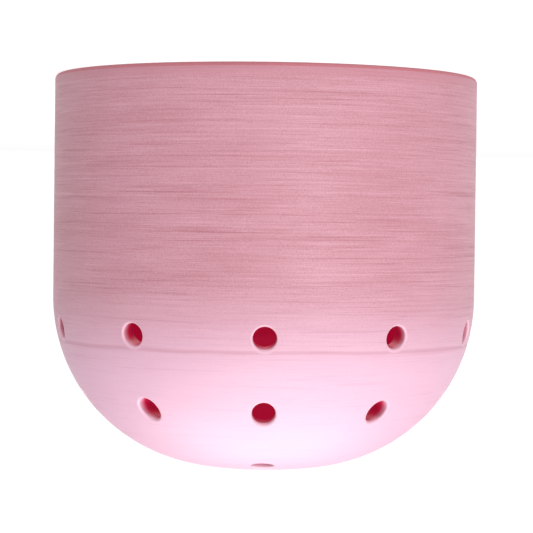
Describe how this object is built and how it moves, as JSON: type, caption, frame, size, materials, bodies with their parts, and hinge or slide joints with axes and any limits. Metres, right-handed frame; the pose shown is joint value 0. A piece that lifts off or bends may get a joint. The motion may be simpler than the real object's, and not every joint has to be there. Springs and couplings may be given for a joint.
{
  "type": "flower frog",
  "caption": "Wheel-thrown ceramic dome, hollow and open below, with rings of round holes that hold cut flower stems upright in a bowl or vase.",
  "frame": {"origin": "centre of the rim, on the surface that the frog stands on", "axes": "+Z is the axis that the pot was thrown on, up through the middle of the dome; -Y faces the viewer, with one hole of each ring half a degree off it towards -X; the picture shows the frog upside down"},
  "size_m": [0.1, 0.1, 0.092],
  "materials": {
    "bare_clay": "matte",
    "outer_pink_slip": "satin",
    "inner_pink_slip": "matte",
    "hole_pink_slip": "satin"
  },
  "bodies": {
    "root": {"clay_body": "bare_clay", "outer_slip": "outer_pink_slip", "inner_slip": "inner_pink_slip", "lower_ring_slip": "hole_pink_slip", "middle_ring_slip": "hole_pink_slip", "upper_ring_slip": "hole_pink_slip", "crown_hole_slip": "hole_pink_slip"}
  },
  "joints": []
}
